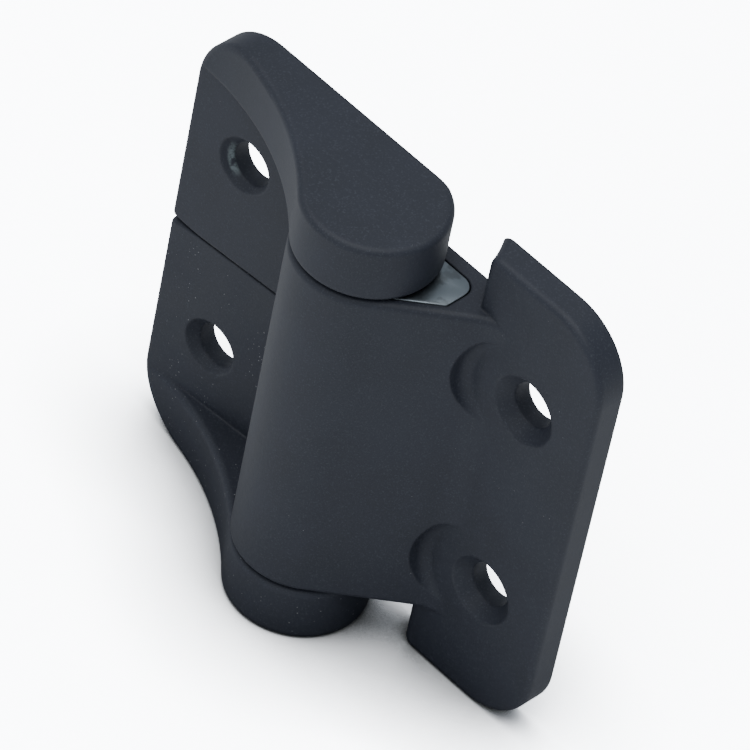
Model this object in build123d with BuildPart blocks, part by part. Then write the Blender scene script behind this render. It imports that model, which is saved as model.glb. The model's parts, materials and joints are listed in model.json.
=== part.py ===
from build123d import *
from math import asin, cos, radians, sin, sqrt
import os

# A constant-torque hinge, open flat. Millimetres. The mounting face is the plane y = 0 and the front of
# the hinge faces -Y. The pin stands along Z in front of the mounting face, at x = 0.

# overall
hinge_height = 61.4
split_leaf_reach = 31.6
wide_leaf_reach = 32.2
knuckle_radius = 8.6
knuckle_back_cut = 0.85
middle_knuckle_length = 46.0

# leaves
plate_thickness = 3.8
floor_fall = 2.5
floor_fillet = 3.0
slope_angle = 44.0
slope_foot_fillet = 5.0
tip_corner_radius = 8.4
ear_inner_radius = 14.3
ear_corner_radius = 1.3
split_corner_radius = 0.8
edge_rounding = 0.8

# screws
screw_inset = 22.6
screw_spacing = 28.7
screw_hole_radius = 2.75
countersink_radius = 4.35
countersink_angle = 90.0
head_room_radius = 8.8
head_room_fillet = 1.4

# pin and friction pack
pin_radius = 4.0
pin_flat_depth = 0.8
pin_end_wall = 2.25
pin_end_chamfer = 0.4
clip_count = 30
clip_ring_width = 1.8
clip_foot_reach = 11.5
clip_foot_length = 6.2
clip_slope_wall = 1.4
clip_corner_radius = 2.0
clip_slit = 1.0
clip_slit_top = 2.5
washer_bearing = 0.42
washer_thickness = 0.8

# fits
knuckle_gap = 0.25
split_gap = 0.3
sweep_clearance = 0.5
pin_running_fit = 0.03
pin_key_fit = 0.01
pin_end_gap = 0.1
clip_pocket_fit = 0.15
clip_face_gap = 0.02
washer_fit = 0.1

os.makedirs("parts", exist_ok=True)

pin_height = knuckle_radius - knuckle_back_cut
half_height = hinge_height / 2
middle_end = middle_knuckle_length / 2
end_start = middle_end + knuckle_gap
pin_centre = Vector(0, -pin_height)
beyond = 2 * hinge_height

# where the round knuckles meet the mounting face
back_chord = sqrt(knuckle_radius**2 - pin_height**2)

# the arm's hollow curve leaves the leaf's tip level and meets the knuckle without a corner
tip_to_pin = pin_height - plate_thickness
arm_radius = (tip_to_pin**2 + split_leaf_reach**2 - knuckle_radius**2) / 2 / (knuckle_radius + tip_to_pin)
arm_centre = Vector(-split_leaf_reach, -plate_thickness - arm_radius)
arm_foot = pin_centre + (arm_centre - pin_centre).normalized() * knuckle_radius
arm_half_turn = asin((arm_foot.X + split_leaf_reach) / arm_radius) / 2
arm_middle = arm_centre + Vector(sin(arm_half_turn), cos(arm_half_turn)) * arm_radius

# the split leaf's plate falls towards the pin and stops short of the middle knuckle, which turns past it
plate_end = knuckle_radius + sweep_clearance
floor_at_pin = floor_fall - plate_thickness
floor_rate = floor_fall / split_leaf_reach

# the middle knuckle's front runs down to its plate along a straight slope
slope_out = Vector(sin(radians(slope_angle)), -cos(radians(slope_angle)))
slope_along = Vector(cos(radians(slope_angle)), sin(radians(slope_angle)))
slope_start = pin_centre + slope_out * knuckle_radius
slope_foot = slope_start + slope_along * ((-plate_thickness - slope_start.Y) / slope_along.Y)
slope_end = slope_foot.X + slope_foot_fillet

# the inner sides of the ears are hollow round the pin, so that they clear the end knuckles
ear_front_side = sqrt(ear_inner_radius**2 - tip_to_pin**2)
ear_back_side = sqrt(ear_inner_radius**2 - pin_height**2)

# the friction clips
clip_bore = pin_radius + pin_running_fit
clip_ring_radius = clip_bore + clip_ring_width
clip_back = clip_ring_radius - pin_height
foot_front = pin_centre + slope_out * (knuckle_radius - clip_slope_wall)
foot_tip = foot_front + slope_along * ((clip_foot_reach - foot_front.X) / slope_along.X)
foot_heel = foot_tip - slope_along * clip_foot_length
clip_pitch = middle_knuckle_length / clip_count

# the pin is round between its two flatted ends
pin_flat = pin_radius - pin_flat_depth
pin_end_depth = half_height - pin_end_wall - end_start
pin_half_length = end_start + pin_end_depth - pin_end_gap
pin_round_end = end_start - pin_end_gap

# each washer lies in a sink in its end knuckle and bears on the rim of the clips' pocket
washer_radius = clip_ring_radius + clip_pocket_fit + washer_bearing
washer_start = middle_end + clip_face_gap
washer_sink = washer_start + washer_thickness - end_start


# outline of one friction clip: a ring round the pin, and a foot that keeps it from turning
with BuildSketch() as clip_outline:
    with BuildLine():
        Polyline((0, clip_back), (clip_foot_reach, clip_back), foot_tip, foot_heel, pin_centre, close=True)
    make_face()
    foot_corners = clip_outline.vertices().sort_by(Axis.X)[-2:].sort_by(Axis.Y)
    fillet(foot_corners[-1], clip_corner_radius)
    with Locations(pin_centre):
        Circle(clip_ring_radius)

# the slit that frees the ring from the foot on its front side
with BuildSketch() as slit_outline:
    with Locations(pin_centre):
        Circle(clip_ring_radius + clip_slit)
        Circle(clip_ring_radius, mode=Mode.SUBTRACT)
        with Locations((0, clip_slit_top)):
            Rectangle(beyond, beyond, align=(Align.MIN, Align.MAX), mode=Mode.INTERSECT)
            Rectangle(clip_ring_radius, clip_slit, align=(Align.MIN, Align.MAX))

# half of the split leaf before its floor is hollowed out, with its front edges rounded
with BuildPart() as leaf_blank:
    with BuildSketch(Plane.XY.offset(split_gap / 2)):
        with BuildLine():
            Line((-split_leaf_reach, 0), (-split_leaf_reach, -plate_thickness))
            ThreePointArc((-split_leaf_reach, -plate_thickness), arm_middle, arm_foot)
            ThreePointArc(arm_foot, pin_centre + Vector(knuckle_radius, 0), (back_chord, 0))
            Line((back_chord, 0), (-split_leaf_reach, 0))
        make_face()
    extrude(amount=half_height - split_gap / 2)
    tip_edges = leaf_blank.faces().sort_by(Axis.X)[0].edges().filter_by(Axis.Y).sort_by(Axis.Z)
    fillet(tip_edges[0], split_corner_radius)
    fillet(tip_edges[1], tip_corner_radius)
    outer_end = leaf_blank.faces().sort_by(Axis.Z)[-1]
    fillet(outer_end.edges().filter_by(GeomType.CIRCLE), edge_rounding)

# the arm and end knuckle of the same blank, rounded on the inner end as well
with BuildPart() as end_arm:
    add(leaf_blank.part)
    split(bisect_by=Plane.XY.offset(end_start))
    inner_end = end_arm.faces().sort_by(Axis.Z)[0]
    fillet(inner_end.edges().filter_by(GeomType.CIRCLE), edge_rounding)

# the space between the end knuckles, in front of the falling floor
with BuildPart() as floor_space:
    with BuildSketch():
        with BuildLine():
            Polyline(
                (-beyond, floor_at_pin - floor_rate * beyond),
                (-plate_end, floor_at_pin - floor_rate * plate_end),
                (-plate_end, beyond),
                (beyond, beyond),
                (beyond, -beyond),
                (-beyond, -beyond),
                close=True,
            )
        make_face()
    extrude(amount=end_start + 2 * edge_rounding)
    floor = floor_space.faces().filter_by(Axis.Z, reverse=True).sort_by(Axis.Y)[1]
    fillet(floor.edges().sort_by(Axis.Z)[-1], floor_fillet)

# half of the split leaf: plate, arm and end knuckle in one casting, with its screw head as deep as the
# other leaf's
with BuildPart() as top_half_leaf:
    add(leaf_blank.part)
    add(floor_space.part, mode=Mode.SUBTRACT)
    add(end_arm.part)
    with BuildSketch(Plane.XY.offset(end_start)):
        with Locations(pin_centre):
            Circle(washer_radius + washer_fit)
    extrude(amount=washer_sink, mode=Mode.SUBTRACT)
    with BuildSketch(Plane.XY.offset(end_start)):
        with Locations(pin_centre):
            Circle(pin_radius + pin_key_fit)
            Rectangle(2 * (pin_flat + pin_key_fit), 4 * pin_radius, mode=Mode.INTERSECT)
    extrude(amount=pin_end_depth, mode=Mode.SUBTRACT)
    with Locations(Plane((-screw_inset, -plate_thickness, screw_spacing / 2), z_dir=(0, -1, 0))):
        CounterSinkHole(screw_hole_radius, countersink_radius, counter_sink_angle=countersink_angle)
top_half_leaf.part.label = "top_half_leaf"
export_step(top_half_leaf.part, "parts/top_half_leaf.step")

with BuildPart() as bottom_half_leaf:
    mirror(top_half_leaf.part, about=Plane.XY)
bottom_half_leaf.part.label = "bottom_half_leaf"
export_step(bottom_half_leaf.part, "parts/bottom_half_leaf.step")

# room for a screw head where the slope would be in its way
with BuildPart() as head_room:
    Cylinder(head_room_radius, beyond, align=(Align.CENTER, Align.CENTER, Align.MIN))
    fillet(head_room.edges().sort_by(Axis.Z)[0], head_room_fillet)

# the middle knuckle and the slope that joins it to its leaf
with BuildPart() as middle_knuckle:
    with BuildSketch(Plane.XY.offset(-middle_end)) as knuckle_profile:
        with BuildLine():
            Line((-back_chord, 0), (slope_end, 0))
            Line((slope_end, 0), (slope_end, -plate_thickness))
            Line((slope_end, -plate_thickness), slope_foot)
            Line(slope_foot, slope_start)
            ThreePointArc(slope_start, pin_centre - Vector(knuckle_radius, 0), (-back_chord, 0))
        make_face()
        fillet(knuckle_profile.vertices().sort_by_distance(slope_foot)[0], slope_foot_fillet)
    extrude(amount=middle_knuckle_length)
    end_edges = middle_knuckle.faces().filter_by(Plane.XY).edges()
    fillet(end_edges.filter_by(lambda edge: edge.center().Y <= -plate_thickness), edge_rounding)

# the other leaf, with the middle knuckle, in one casting
with BuildPart() as wide_leaf:
    with BuildSketch(Plane.XY.offset(-half_height)):
        with BuildLine():
            Polyline(
                (ear_front_side, -plate_thickness),
                (wide_leaf_reach, -plate_thickness),
                (wide_leaf_reach, 0),
                (ear_back_side, 0),
            )
            RadiusArc((ear_back_side, 0), (ear_front_side, -plate_thickness), ear_inner_radius)
        make_face()
    extrude(amount=hinge_height)
    fillet(wide_leaf.faces().sort_by(Axis.X)[-1].edges().filter_by(Axis.Y), tip_corner_radius)
    fillet(wide_leaf.faces().filter_by(Plane.XY).edges().filter_by(GeomType.CIRCLE), ear_corner_radius)
    fillet(wide_leaf.faces().sort_by(Axis.Y)[0].edges(), edge_rounding)
    add(middle_knuckle.part)
    with BuildSketch(Plane.XY.offset(-middle_end)):
        add(clip_outline.sketch)
        offset(amount=clip_pocket_fit)
    extrude(amount=middle_knuckle_length, mode=Mode.SUBTRACT)
    for height in (-screw_spacing / 2, screw_spacing / 2):
        with Locations(Plane((screw_inset, -plate_thickness, height), z_dir=(0, -1, 0))):
            add(head_room.part, mode=Mode.SUBTRACT)
            CounterSinkHole(screw_hole_radius, countersink_radius, counter_sink_angle=countersink_angle)
wide_leaf.part.label = "wide_leaf"
export_step(wide_leaf.part, "parts/wide_leaf.step")

# the pin runs in the clips, and its flatted ends are keyed into the half leaves
with BuildPart() as pin:
    with BuildSketch(Plane.XY.offset(-pin_half_length)):
        with Locations(pin_centre):
            Circle(pin_radius)
            Rectangle(2 * pin_flat, 4 * pin_radius, mode=Mode.INTERSECT)
    extrude(amount=2 * pin_half_length)
    chamfer(pin.faces().filter_by(Plane.XY).edges(), pin_end_chamfer)
    with BuildSketch(Plane.XY.offset(-pin_round_end)):
        with Locations(pin_centre):
            Circle(pin_radius)
    extrude(amount=2 * pin_round_end)
pin.part.label = "pin"
export_step(pin.part, "parts/pin.step")

# thrust washers keep the wide leaf off the end knuckles
for label, bottom in (("top_washer", washer_start), ("bottom_washer", -washer_start - washer_thickness)):
    with BuildPart() as washer:
        with BuildSketch(Plane.XY.offset(bottom)):
            with Locations(pin_centre):
                Circle(washer_radius)
                Circle(pin_radius + washer_fit, mode=Mode.SUBTRACT)
        extrude(amount=washer_thickness)
    washer.part.label = label
    export_step(washer.part, f"parts/{label}.step")

# the friction clips, from the bottom of the middle knuckle to its top
for number in range(1, clip_count + 1):
    clip_bottom = clip_pitch * (number - 1) + clip_face_gap / 2 - middle_end
    with BuildPart() as friction_clip:
        with BuildSketch(Plane.XY.offset(clip_bottom)):
            add(clip_outline.sketch)
            with Locations(pin_centre):
                Circle(clip_bore, mode=Mode.SUBTRACT)
            add(slit_outline.sketch, mode=Mode.SUBTRACT)
        extrude(amount=clip_pitch - clip_face_gap)
    friction_clip.part.label = f"friction_clip_{number:02d}"
    export_step(friction_clip.part, f"parts/friction_clip_{number:02d}.step")
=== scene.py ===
import bpy
import bmesh
import json
import math
from mathutils import Matrix, Vector


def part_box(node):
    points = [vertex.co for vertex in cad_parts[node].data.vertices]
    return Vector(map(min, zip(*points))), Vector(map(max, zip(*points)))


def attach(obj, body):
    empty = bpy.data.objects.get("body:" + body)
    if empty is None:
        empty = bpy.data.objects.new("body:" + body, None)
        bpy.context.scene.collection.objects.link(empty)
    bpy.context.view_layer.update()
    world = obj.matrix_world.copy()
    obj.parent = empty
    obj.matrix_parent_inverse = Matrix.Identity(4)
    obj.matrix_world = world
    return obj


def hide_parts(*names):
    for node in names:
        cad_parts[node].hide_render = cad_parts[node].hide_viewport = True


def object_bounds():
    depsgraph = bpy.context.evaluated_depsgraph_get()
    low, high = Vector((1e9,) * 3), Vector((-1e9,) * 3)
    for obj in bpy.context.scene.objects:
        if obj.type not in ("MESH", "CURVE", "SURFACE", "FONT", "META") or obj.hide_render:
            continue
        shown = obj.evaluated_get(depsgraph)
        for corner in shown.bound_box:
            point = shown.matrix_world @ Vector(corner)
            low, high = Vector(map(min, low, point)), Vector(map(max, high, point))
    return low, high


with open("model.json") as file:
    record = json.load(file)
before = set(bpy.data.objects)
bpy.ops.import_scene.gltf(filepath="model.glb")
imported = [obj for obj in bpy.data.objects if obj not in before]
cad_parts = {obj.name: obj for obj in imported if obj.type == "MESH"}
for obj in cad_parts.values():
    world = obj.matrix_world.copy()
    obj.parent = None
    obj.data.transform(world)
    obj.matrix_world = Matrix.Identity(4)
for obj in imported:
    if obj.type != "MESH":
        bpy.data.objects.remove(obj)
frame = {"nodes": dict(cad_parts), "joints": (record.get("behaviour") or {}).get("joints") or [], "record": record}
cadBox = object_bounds()
nodes = frame["nodes"]
scene = bpy.context.scene
mm = 0.001
print("frame loaded:", len(nodes), "nodes")


# builds one node, sets its properties, and fills its sockets with values or links
def addNode(tree, kind, sockets=None, **properties):
    node = tree.nodes.new(kind)
    for name, value in properties.items():
        setattr(node, name, value)
    for key, value in (sockets or {}).items():
        if isinstance(value, bpy.types.NodeSocket):
            tree.links.new(value, node.inputs[key])
        else:
            node.inputs[key].default_value = value
    return node


def mathNode(tree, operation, first, second=0.0, clamp=False):
    node = addNode(tree, "ShaderNodeMath", {0: first, 1: second}, operation=operation, use_clamp=clamp)
    return node.outputs[0]


def vectorNode(tree, operation, first, second=(0.0, 0.0, 0.0)):
    return addNode(tree, "ShaderNodeVectorMath", {0: first, 1: second}, operation=operation)


# a value stretched from one range to another, held at its ends
def stretch(tree, value, low, high, toLow=0.0, toHigh=1.0, kind="SMOOTHSTEP"):
    sockets = {"Value": value, "From Min": low, "From Max": high, "To Min": toLow, "To Max": toHigh}
    return addNode(tree, "ShaderNodeMapRange", sockets, interpolation_type=kind).outputs["Result"]


def blendColour(tree, share, first, second):
    node = addNode(tree, "ShaderNodeMix", {0: share, 6: first, 7: second}, data_type="RGBA")
    return node.outputs[2]


def noiseNode(tree, vector, size, detail=2.0, rough=0.5):
    scale = mathNode(tree, "DIVIDE", 1.0, size)
    sockets = {"Vector": vector, "Scale": scale, "Detail": detail, "Roughness": rough}
    return addNode(tree, "ShaderNodeTexNoise", sockets).outputs["Fac"]


# an empty node group with its named inputs and outputs
def startGroup(name, inputs, outputs, treeType="ShaderNodeTree"):
    tree = bpy.data.node_groups.new(name, treeType)
    for socketName, (kind, value) in inputs.items():
        socket = tree.interface.new_socket(socketName, in_out="INPUT", socket_type=kind)
        if value is not None:
            socket.default_value = value
    for socketName, kind in outputs.items():
        tree.interface.new_socket(socketName, in_out="OUTPUT", socket_type=kind)
    start = tree.nodes.new("NodeGroupInput").outputs
    end = tree.nodes.new("NodeGroupOutput").inputs
    return tree, start, end


# sprayed and baked coat: a fine pebble on a slow orange peel, with a faint mottle and flecks
grainSizes = dict(
    pebble=0.3 * mm,
    peel=1.4 * mm,
    mottle=9 * mm,
    peelShare=0.4,
    mottleRange=(0.3, 0.7),
    fleckRange=(0.52, 0.72),
)


def makeGrain():
    tree, start, end = startGroup(
        "coatGrain",
        {
            "Vector": ("NodeSocketVector", None),
            "Pebble Size": ("NodeSocketFloat", grainSizes["pebble"]),
            "Peel Size": ("NodeSocketFloat", grainSizes["peel"]),
            "Mottle Size": ("NodeSocketFloat", grainSizes["mottle"]),
            "Peel Share": ("NodeSocketFloat", grainSizes["peelShare"]),
        },
        {"Height": "NodeSocketFloat", "Mottle": "NodeSocketFloat", "Fleck": "NodeSocketFloat"},
    )
    pebble = noiseNode(tree, start["Vector"], start["Pebble Size"], 3.0, 0.6)
    peel = noiseNode(tree, start["Vector"], start["Peel Size"], 1.0)
    height = addNode(tree, "ShaderNodeMix", {0: start["Peel Share"], 2: pebble, 3: peel})
    tree.links.new(height.outputs[0], end["Height"])
    mottle = noiseNode(tree, start["Vector"], start["Mottle Size"], 4.0, 0.55)
    tree.links.new(stretch(tree, mottle, *grainSizes["mottleRange"]), end["Mottle"])
    tree.links.new(stretch(tree, pebble, *grainSizes["fleckRange"]), end["Fleck"])
    return tree


# corners as a coat or a tumbled edge rounds them, and lighter in patches along them: partly wear, partly a painted
# highlight on the edges
edgeSizes = dict(radius=0.25 * mm, patch=2.5 * mm, cornerRange=(0.995, 0.93), rubHighlightRange=(0.45, 0.7))


def makeEdges():
    tree, start, end = startGroup(
        "softEdges",
        {
            "Vector": ("NodeSocketVector", None),
            "Radius": ("NodeSocketFloat", edgeSizes["radius"]),
            "Patch Size": ("NodeSocketFloat", edgeSizes["patch"]),
        },
        {"Normal": "NodeSocketVector", "Rub Highlight": "NodeSocketFloat"},
    )
    bevel = addNode(tree, "ShaderNodeBevel", {"Radius": start["Radius"]}, samples=6)
    flat = addNode(tree, "ShaderNodeNewGeometry").outputs["Normal"]
    facing = vectorNode(tree, "DOT_PRODUCT", bevel.outputs[0], flat).outputs["Value"]
    corner = stretch(tree, facing, *edgeSizes["cornerRange"])
    patches = noiseNode(tree, start["Vector"], start["Patch Size"], 3.0, 0.6)
    rubHighlight = mathNode(tree, "MULTIPLY", corner, stretch(tree, patches, *edgeSizes["rubHighlightRange"]))
    tree.links.new(bevel.outputs[0], end["Normal"])
    tree.links.new(rubHighlight, end["Rub Highlight"])
    return tree


# loose specks that lie in drifts, and the thin film between them
dustSizes = dict(spacing=0.9 * mm, speck=0.12, drift=8 * mm, amount=0.5, driftRange=(0.4, 0.68))


def makeDust():
    tree, start, end = startGroup(
        "dustSpecks",
        {
            "Vector": ("NodeSocketVector", None),
            "Speck Spacing": ("NodeSocketFloat", dustSizes["spacing"]),
            "Speck Size": ("NodeSocketFloat", dustSizes["speck"]),
            "Drift Size": ("NodeSocketFloat", dustSizes["drift"]),
            "Amount": ("NodeSocketFloat", dustSizes["amount"]),
        },
        {"Specks": "NodeSocketFloat", "Film": "NodeSocketFloat"},
    )
    scale = mathNode(tree, "DIVIDE", 1.0, start["Speck Spacing"])
    cells = addNode(tree, "ShaderNodeTexVoronoi", {"Vector": start["Vector"], "Scale": scale})
    chance = addNode(tree, "ShaderNodeSeparateColor", {0: cells.outputs["Color"]})
    drifts = noiseNode(tree, start["Vector"], start["Drift Size"], 2.0)
    drift = stretch(tree, drifts, *dustSizes["driftRange"])
    wanted = mathNode(tree, "MULTIPLY", drift, start["Amount"])
    chosen = mathNode(tree, "LESS_THAN", chance.outputs[0], wanted)
    radius = mathNode(tree, "MULTIPLY", chance.outputs[1], start["Speck Size"])
    speck = mathNode(tree, "LESS_THAN", cells.outputs["Distance"], radius)
    tree.links.new(mathNode(tree, "MULTIPLY", speck, chosen), end["Specks"])
    tree.links.new(wanted, end["Film"])
    return tree


# coat missing in patches from one side of a ring inside a screw hole
ringSizes = dict(
    radius=3.5 * mm,
    front=-2.9 * mm,
    back=-2.0 * mm,
    blur=0.25 * mm,
    patch=1.8 * mm,
    side=(-0.95, 0.0, -0.3),
    sideReach=0.62,
    sideBlur=0.3,
    patchBlur=0.16,
)


def makeBareRing():
    tree, start, end = startGroup(
        "bareRing",
        {
            "Vector": ("NodeSocketVector", None),
            "Centre": ("NodeSocketVector", (0.0, 0.0, 0.0)),
            "Radius": ("NodeSocketFloat", ringSizes["radius"]),
            "Front": ("NodeSocketFloat", ringSizes["front"]),
            "Back": ("NodeSocketFloat", ringSizes["back"]),
            "Blur": ("NodeSocketFloat", ringSizes["blur"]),
            "Patch Size": ("NodeSocketFloat", ringSizes["patch"]),
            "Side": ("NodeSocketVector", ringSizes["side"]),
            "Side Reach": ("NodeSocketFloat", ringSizes["sideReach"]),
            "Amount": ("NodeSocketFloat", 0.0),
        },
        {"Mask": "NodeSocketFloat"},
    )
    away = vectorNode(tree, "SUBTRACT", start["Vector"], start["Centre"]).outputs[0]
    across = vectorNode(tree, "MULTIPLY", away, (1.0, 0.0, 1.0)).outputs[0]
    span = vectorNode(tree, "LENGTH", across).outputs["Value"]
    depth = addNode(tree, "ShaderNodeSeparateXYZ", {0: start["Vector"]}).outputs["Y"]
    blur = start["Blur"]
    rimStart = mathNode(tree, "SUBTRACT", start["Radius"], blur)
    within = stretch(tree, span, rimStart, start["Radius"], 1.0, 0.0)
    pastFront = stretch(tree, depth, start["Front"], mathNode(tree, "ADD", start["Front"], blur))
    backStart = mathNode(tree, "SUBTRACT", start["Back"], blur)
    beforeBack = stretch(tree, depth, backStart, start["Back"], 1.0, 0.0)
    patches = noiseNode(tree, start["Vector"], start["Patch Size"], 4.0, 0.65)
    least = mathNode(tree, "SUBTRACT", 1.0, start["Amount"])
    shown = stretch(tree, patches, least, mathNode(tree, "ADD", least, ringSizes["patchBlur"]))
    outward = vectorNode(tree, "NORMALIZE", across).outputs[0]
    towards = vectorNode(tree, "DOT_PRODUCT", outward, start["Side"]).outputs["Value"]
    reach = start["Side Reach"]
    sided = stretch(tree, towards, reach, mathNode(tree, "ADD", reach, ringSizes["sideBlur"]))
    band = mathNode(tree, "MULTIPLY", within, mathNode(tree, "MULTIPLY", pastFront, beforeBack))
    band = mathNode(tree, "MULTIPLY", band, sided)
    tree.links.new(mathNode(tree, "MULTIPLY", band, shown), end["Mask"])
    return tree


grain = makeGrain()
softEdges = makeEdges()
dustSpecks = makeDust()
bareRing = makeBareRing()


def placeGroup(tree, group, sockets):
    node = tree.nodes.new("ShaderNodeGroup")
    node.node_tree = group
    for key, value in sockets.items():
        if isinstance(value, bpy.types.NodeSocket):
            tree.links.new(value, node.inputs[key])
        else:
            node.inputs[key].default_value = value
    return node.outputs


def startMaterial(name):
    material = bpy.data.materials.new(name)
    material.use_nodes = True
    tree = material.node_tree
    where = addNode(tree, "ShaderNodeTexCoord").outputs["Object"]
    return material, tree, tree.nodes["Principled BSDF"], where


# black powder coat over die-cast zinc
coat = dict(
    deep=(0.0158, 0.0192, 0.0292, 1),
    pale=(0.0186, 0.0226, 0.0345, 1),
    fleck=(0.045, 0.052, 0.066, 1),
    fleckShare=0.8,
    rubbedAndHighlit=(0.06, 0.065, 0.075, 1),
    dust=(0.18, 0.187, 0.196, 1),
    zinc=(0.16, 0.19, 0.2, 1),
    roughness=(0.57, 0.7),
    pebbleSize=0.22 * mm,
    peelSize=1.5 * mm,
    mottleSize=8 * mm,
    speckSpacing=0.42 * mm,
    bumpDistance=0.035 * mm,
    peelShare=0.35,
    edgeRadius=0.45 * mm,
    rubHighlightShare=0.5,
    filmRoughness=0.08,
    bareRoughness=-0.12,
    bumpStrength=0.6,
    specular=0.4,
)


def makeCoat(name, dustAmount, speckSize=0.12, ringCentre=(0, 0, 0), ringAmount=0.0):
    material, tree, shader, where = startMaterial(name)
    surface = placeGroup(tree, grain, {
        "Vector": where, "Pebble Size": coat["pebbleSize"], "Peel Size": coat["peelSize"],
        "Mottle Size": coat["mottleSize"], "Peel Share": coat["peelShare"],
    })
    edges = placeGroup(tree, softEdges, {"Vector": where, "Radius": coat["edgeRadius"]})
    specks = placeGroup(tree, dustSpecks, {
        "Vector": where, "Amount": dustAmount,
        "Speck Spacing": coat["speckSpacing"], "Speck Size": speckSize,
    })
    bare = placeGroup(tree, bareRing, {"Vector": where, "Centre": ringCentre, "Amount": ringAmount})["Mask"]
    colour = blendColour(tree, surface["Mottle"], coat["deep"], coat["pale"])
    flecks = mathNode(tree, "MULTIPLY", surface["Fleck"], coat["fleckShare"])
    colour = blendColour(tree, flecks, colour, coat["fleck"])
    # lighter colour on corners: partly wear, partly a painted edge highlight
    rubHighlight = mathNode(tree, "MULTIPLY", edges["Rub Highlight"], coat["rubHighlightShare"])
    colour = blendColour(tree, rubHighlight, colour, coat["rubbedAndHighlit"])
    colour = blendColour(tree, specks["Specks"], colour, coat["dust"])
    colour = blendColour(tree, bare, colour, coat["zinc"])
    tree.links.new(colour, shader.inputs["Base Color"])
    tree.links.new(bare, shader.inputs["Metallic"])
    low, high = coat["roughness"]
    rough = stretch(tree, surface["Fleck"], 0.0, 1.0, low, high, "LINEAR")
    film = mathNode(tree, "MULTIPLY", specks["Film"], coat["filmRoughness"])
    rough = mathNode(tree, "ADD", rough, film, clamp=True)
    rough = mathNode(tree, "ADD", rough, mathNode(tree, "MULTIPLY", bare, coat["bareRoughness"]))
    tree.links.new(rough, shader.inputs["Roughness"])
    bump = addNode(tree, "ShaderNodeBump", {
        "Height": surface["Height"], "Distance": coat["bumpDistance"],
        "Strength": coat["bumpStrength"], "Normal": edges["Normal"],
    })
    tree.links.new(bump.outputs["Normal"], shader.inputs["Normal"])
    shader.inputs["Specular IOR Level"].default_value = coat["specular"]
    return material


# tumbled spring steel, with faint rolling lines and darker oil marks
steel = dict(
    bright=(0.215, 0.25, 0.275, 1),
    oiled=(0.12, 0.135, 0.145, 1),
    roughness=(0.28, 0.42),
    lineSize=0.09 * mm,
    lineRange=(0.3, 0.7),
    markSizes={"Pebble Size": 0.15 * mm, "Peel Size": 0.8 * mm, "Mottle Size": 2.2 * mm, "Peel Share": 0.5},
    markHeight=0.4,
    filmFrom=0.55,
    filmShare=0.7,
    edgeRadius=0.08 * mm,
    rubPatch=1.0 * mm,
    bumpDistance=0.004 * mm,
    bumpStrength=0.5,
)


def makeSteel(name, lineStretch):
    material, tree, shader, where = startMaterial(name)
    squeezed = addNode(tree, "ShaderNodeMapping", {"Vector": where, "Scale": lineStretch}).outputs[0]
    lines = noiseNode(tree, squeezed, steel["lineSize"], 4.0, 0.65)
    marks = placeGroup(tree, grain, {"Vector": where, **steel["markSizes"]})
    edges = placeGroup(tree, softEdges, {
        "Vector": where, "Radius": steel["edgeRadius"], "Patch Size": steel["rubPatch"],
    })
    film = stretch(tree, marks["Mottle"], steel["filmFrom"], 1.0, 0.0, steel["filmShare"])
    colour = blendColour(tree, film, steel["bright"], steel["oiled"])
    tree.links.new(colour, shader.inputs["Base Color"])
    low, high = steel["roughness"]
    rough = stretch(tree, lines, *steel["lineRange"], low, high, "LINEAR")
    tree.links.new(rough, shader.inputs["Roughness"])
    height = mathNode(tree, "ADD", lines, mathNode(tree, "MULTIPLY", marks["Height"], steel["markHeight"]))
    bump = addNode(tree, "ShaderNodeBump", {
        "Height": height, "Distance": steel["bumpDistance"],
        "Strength": steel["bumpStrength"], "Normal": edges["Normal"],
    })
    tree.links.new(bump.outputs["Normal"], shader.inputs["Normal"])
    shader.inputs["Metallic"].default_value = 1.0
    return material


# natural acetal, slightly waxy, with turning marks
acetal = dict(
    clean=(0.74, 0.72, 0.66, 1),
    handled=(0.6, 0.57, 0.5, 1),
    roughness=(0.38, 0.5),
    pebbleSize=0.2 * mm,
    mottleSize=3 * mm,
    edgeRadius=0.1 * mm,
    ringPitch=0.25 * mm,
    ringsPerUnit=0.3,
    ringWobble=0.6,
    bumpDistance=0.01 * mm,
    bumpStrength=0.3,
)


def makeAcetal():
    material, tree, shader, where = startMaterial("washerAcetal")
    surface = placeGroup(tree, grain, {
        "Vector": where, "Pebble Size": acetal["pebbleSize"], "Mottle Size": acetal["mottleSize"],
    })
    edges = placeGroup(tree, softEdges, {"Vector": where, "Radius": acetal["edgeRadius"]})
    shift = {"Vector": where, "Location": -pinCentre}
    centred = addNode(tree, "ShaderNodeMapping", shift).outputs[0]
    rings = addNode(tree, "ShaderNodeTexWave", {
        "Vector": centred, "Scale": acetal["ringsPerUnit"] / acetal["ringPitch"],
        "Distortion": acetal["ringWobble"], "Detail": 1.0,
    }, wave_type="RINGS", rings_direction="Z").outputs["Fac"]
    colour = blendColour(tree, surface["Mottle"], acetal["clean"], acetal["handled"])
    tree.links.new(colour, shader.inputs["Base Color"])
    low, high = acetal["roughness"]
    tree.links.new(stretch(tree, rings, 0.0, 1.0, low, high, "LINEAR"), shader.inputs["Roughness"])
    bump = addNode(tree, "ShaderNodeBump", {
        "Height": rings, "Distance": acetal["bumpDistance"],
        "Strength": acetal["bumpStrength"], "Normal": edges["Normal"],
    })
    tree.links.new(bump.outputs["Normal"], shader.inputs["Normal"])
    return material


# the pin's axis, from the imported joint
pinCentre = Vector(frame["joints"][0]["pos_m"])
pinCentre.z = 0.0

# the two halves of the split leaf carry their screw holes where the record says
splitScrews = [m for m in frame["record"]["mounts"] if m["name"] == "split_leaf_screws"][0]
holeInset = splitScrews["pos_m"][0]
holeHeight = splitScrews["dims"]["spacing_y_mm"] / 2 * mm

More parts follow.
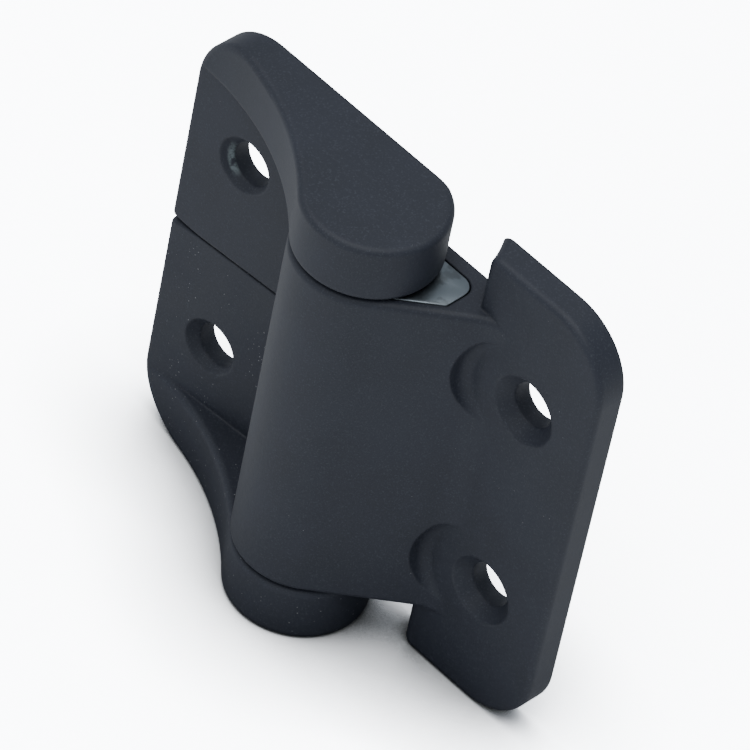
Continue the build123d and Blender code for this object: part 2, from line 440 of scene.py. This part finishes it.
plainCoat = makeCoat("powderCoat", dustAmount=0.05)
chippedHole = (holeInset, 0, holeHeight)
chippedCoat = makeCoat("powderCoatChipped", dustAmount=0.04, ringCentre=chippedHole, ringAmount=0.58)
dustyCoat = makeCoat("powderCoatDusty", dustAmount=0.75, speckSize=0.2)
clipSteel = makeSteel("springSteel", (1.0, 0.12, 1.0))
pinSteel = makeSteel("pinSteel", (0.1, 0.1, 1.0))
washerAcetal = makeAcetal()
print("materials:", ", ".join(sorted(m.name for m in bpy.data.materials)))

finishes = {
    "top_half_leaf": chippedCoat,
    "bottom_half_leaf": dustyCoat,
    "wide_leaf": plainCoat,
    "pin": pinSteel,
    "top_washer": washerAcetal,
    "bottom_washer": washerAcetal,
}
for name, node in nodes.items():
    node.data.materials.clear()
    node.data.materials.append(finishes.get(name, clipSteel))


# the friction clips: one stamped clip, repeated along the pin with a little play on it
clips = dict(
    first="friction_clip_01",
    weld=0.001 * mm,
    flattest=math.radians(1),
    edge=0.13 * mm,
    edgeSteps=2,
    sharpest=math.radians(40),
    endFacing=0.9,
    play=math.radians(0.2),
    seed=4,
)


def stampedClip():
    mesh = nodes[clips["first"]].data.copy()
    mesh.name = "stampedClip"
    form = bmesh.new()
    form.from_mesh(mesh)
    bmesh.ops.remove_doubles(form, verts=form.verts, dist=clips["weld"])
    bmesh.ops.dissolve_limit(form, angle_limit=clips["flattest"], verts=form.verts, edges=form.edges)
    sharp = [edge for edge in form.edges if edge.calc_face_angle(0) > clips["sharpest"]]
    rim = [
        edge for edge in sharp
        if any(abs(face.normal.z) > clips["endFacing"] for face in edge.link_faces)
    ]
    bmesh.ops.bevel(
        form, geom=rim, offset=clips["edge"], segments=clips["edgeSteps"], profile=0.5,
        affect="EDGES", clamp_overlap=True,
    )
    bmesh.ops.recalc_face_normals(form, faces=form.faces)
    for face in form.faces:
        face.smooth = True
    bmesh.ops.translate(form, verts=form.verts, vec=-pinCentre)
    form.to_mesh(mesh)
    form.free()
    mesh.set_sharp_from_angle(angle=clips["sharpest"])
    return mesh


def clipStackTree():
    tree, start, end = startGroup(
        "clipStack",
        {
            "Clip": ("NodeSocketGeometry", None),
            "Count": ("NodeSocketInt", 2),
            "Pitch": ("NodeSocketFloat", 1.5 * mm),
            "Pin Centre": ("NodeSocketVector", (0.0, 0.0, 0.0)),
            "Play": ("NodeSocketFloat", 0.0),
            "Seed": ("NodeSocketInt", 0),
            "Finish": ("NodeSocketMaterial", None),
        },
        {"Stack": "NodeSocketGeometry"},
        "GeometryNodeTree",
    )
    rise = addNode(tree, "ShaderNodeCombineXYZ", {"Z": start["Pitch"]}).outputs[0]
    line = addNode(tree, "GeometryNodeMeshLine", {
        "Count": start["Count"], "Start Location": start["Pin Centre"], "Offset": rise,
    }, mode="OFFSET")
    back = mathNode(tree, "MULTIPLY", start["Play"], -1.0)
    swing = addNode(tree, "FunctionNodeRandomValue", {2: back, 3: start["Play"], "Seed": start["Seed"]})
    turn = addNode(tree, "ShaderNodeCombineXYZ", {"Z": swing.outputs[1]}).outputs[0]
    placed = addNode(tree, "GeometryNodeInstanceOnPoints", {
        "Points": line.outputs[0], "Instance": start["Clip"], "Rotation": turn,
    })
    real = addNode(tree, "GeometryNodeRealizeInstances", {0: placed.outputs[0]})
    finish = {"Geometry": real.outputs[0], "Material": start["Finish"]}
    painted = addNode(tree, "GeometryNodeSetMaterial", finish)
    tree.links.new(painted.outputs[0], end["Stack"])
    return tree


def growMesh(piece, tree, values):
    modifier = piece.modifiers.new(tree.name, "NODES")
    modifier.node_group = tree
    for item in tree.interface.items_tree:
        if item.item_type == "SOCKET" and item.in_out == "INPUT" and item.name in values:
            modifier[item.identifier] = values[item.name]
    bpy.context.view_layer.update()
    grown = piece.evaluated_get(bpy.context.evaluated_depsgraph_get())
    plain = bpy.data.meshes.new_from_object(grown)
    piece.modifiers.remove(modifier)
    piece.data = plain
    return piece


clipNames = sorted(name for name in nodes if name.startswith("friction_clip"))
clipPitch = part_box(clipNames[1])[0].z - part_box(clipNames[0])[0].z
clipStack = bpy.data.objects.new("clip_stack", stampedClip())
scene.collection.objects.link(clipStack)
growMesh(clipStack, clipStackTree(), {
    "Count": len(clipNames), "Pitch": clipPitch, "Pin Centre": pinCentre,
    "Play": clips["play"], "Seed": clips["seed"], "Finish": clipSteel,
})
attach(clipStack, "clip_leaf")
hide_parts(*clipNames)
print("clip stack:", len(clipNames), "clips,", len(clipStack.data.polygons), "faces")


# a wide pale floor, shown brighter than it lights the hinge, with a painted contact shadow that darkens it close
# to what stands on it
floorSizes = dict(
    reach=3.0,
    shade=(0.9, 0.91, 0.92),
    speckle=0.6 * mm,
    speckleRange=(0.3, 0.7),
    dullest=0.97,
    boost=12.0,
    bounce=1.1,
    paintedShadowReach=0.017,
    paintedContactShadow=3.2,
)


def makeFloor():
    mesh = bpy.data.meshes.new("floor")
    reach, level = floorSizes["reach"], cadBox[0][2]
    corners = [(x * reach, y * reach, level) for x, y in ((-1, -1), (1, -1), (1, 1), (-1, 1))]
    mesh.from_pydata(corners, [], [(0, 1, 2, 3)])
    piece = bpy.data.objects.new("floor", mesh)
    scene.collection.objects.link(piece)
    material, tree, shader, where = startMaterial("paleFloor")
    tree.nodes.remove(shader)
    speckles = noiseNode(tree, where, floorSizes["speckle"], 3.0)
    speckle = stretch(tree, speckles, *floorSizes["speckleRange"], floorSizes["dullest"], 1.0)
    seen = addNode(tree, "ShaderNodeLightPath").outputs["Is Camera Ray"]
    power = stretch(tree, seen, 0.0, 1.0, floorSizes["bounce"], floorSizes["boost"], "LINEAR")
    # painted contact shadow: the floor colour darkens where the hinge stands close above it
    opening = addNode(tree, "ShaderNodeAmbientOcclusion", {"Distance": floorSizes["paintedShadowReach"]}, samples=8)
    paintedContactShadow = mathNode(tree, "POWER", opening.outputs["AO"], floorSizes["paintedContactShadow"])
    strength = mathNode(tree, "MULTIPLY", mathNode(tree, "MULTIPLY", speckle, power), paintedContactShadow)
    tintParts = {0: floorSizes["shade"], "Scale": strength}
    tint = addNode(tree, "ShaderNodeVectorMath", tintParts, operation="SCALE")
    matte = addNode(tree, "ShaderNodeBsdfDiffuse", {"Color": tint.outputs[0]})
    tree.links.new(matte.outputs[0], tree.nodes["Material Output"].inputs["Surface"])
    mesh.materials.append(material)


makeFloor()

# soft boxes: overhead, a small low one on the split leaf's side, and a weak one in front
softBoxes = {
    "overhead": dict(at=(-0.05, -0.1, 0.9), size=(1.0, 0.8), power=6.7),
    "leafSide": dict(at=(-0.75, -0.4, 0.02), size=(0.35, 0.4), power=0.55),
    "front": dict(at=(0.1, -0.9, 0.4), size=(0.8, 0.5), power=0.85),
}
for name, box in softBoxes.items():
    light = bpy.data.lights.new(name, "AREA")
    light.shape = "RECTANGLE"
    light.size, light.size_y = box["size"]
    light.energy = box["power"]
    lamp = bpy.data.objects.new(name, light)
    lamp.location = box["at"]
    lamp.rotation_euler = (-Vector(box["at"])).to_track_quat("-Z", "Y").to_euler()
    scene.collection.objects.link(lamp)

room = dict(colour=(0.89, 0.95, 1.03, 1), strength=0.46)
world = bpy.data.worlds.new("studio")
world.use_nodes = True
background = world.node_tree.nodes["Background"].inputs
background["Color"].default_value = room["colour"]
background["Strength"].default_value = room["strength"]
scene.world = world
print("stage: floor,", len(softBoxes), "soft boxes")

# the camera looks down on the open hinge from in front of the wide leaf
view = dict(
    aim=Vector((1.86, -3.89, 2.48)) * mm,
    azimuth=math.radians(37.82),
    elevation=math.radians(44.65),
    distance=791.6 * mm,
    roll=math.radians(12.2456),
    lens=344.42,
    nearest=0.05,
)


def makeCamera():
    lens = bpy.data.cameras.new("camera")
    lens.lens = view["lens"]
    lens.clip_start = view["nearest"]
    camera = bpy.data.objects.new("camera", lens)
    azimuth, elevation = view["azimuth"], view["elevation"]
    level = math.cos(elevation)
    out = Vector((math.sin(azimuth) * level, -math.cos(azimuth) * level, math.sin(elevation)))
    turn = (-out).to_track_quat("-Z", "Y").to_matrix() @ Matrix.Rotation(view["roll"], 3, "Z")
    camera.matrix_world = Matrix.Translation(view["aim"] + out * view["distance"]) @ turn.to_4x4()
    scene.collection.objects.link(camera)
    scene.camera = camera


makeCamera()
